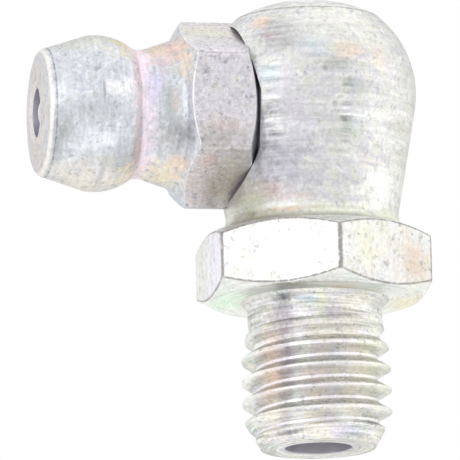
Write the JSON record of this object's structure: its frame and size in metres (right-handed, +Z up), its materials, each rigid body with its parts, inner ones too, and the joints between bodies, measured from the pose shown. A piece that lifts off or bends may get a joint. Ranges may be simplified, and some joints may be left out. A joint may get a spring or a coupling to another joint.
{
  "type": "grease nipple",
  "caption": "Right-angle hydraulic grease nipple: hexagon flange, threaded shank, domed upright and a side-facing button head with a sprung ball check valve.",
  "frame": {"origin": "on the thread axis in the seat plane, the underside of the hexagon flange", "axes": "-Z points along the thread into the machine and +Z up the elbow body; -X points along the nipple axis, out of the grease mouth"},
  "size_m": [0.0162, 0.0102, 0.019],
  "materials": {
    "body_zinc_plate": "turned steel, zinc plated, thin clear iridescent passivation",
    "head_zinc_plate": "turned steel, zinc plated, thin clear iridescent passivation",
    "ball_steel": "polished hardened steel",
    "spring_steel": "drawn spring wire"
  },
  "bodies": {
    "fitting": {"elbow_body": "body_zinc_plate", "nipple_head": "head_zinc_plate", "check_spring": "spring_steel"},
    "valve_ball": {"check_ball": "ball_steel"}
  },
  "joints": [
    {"name": "ball_slide", "type": "slide", "parent": "fitting", "child": "valve_ball", "axis": [1, 0, 0], "range_m": [0, 0.0008], "stiffness_N_per_m": 300, "springref_m": -0.001, "deforming": ["check_spring"]}
  ]
}
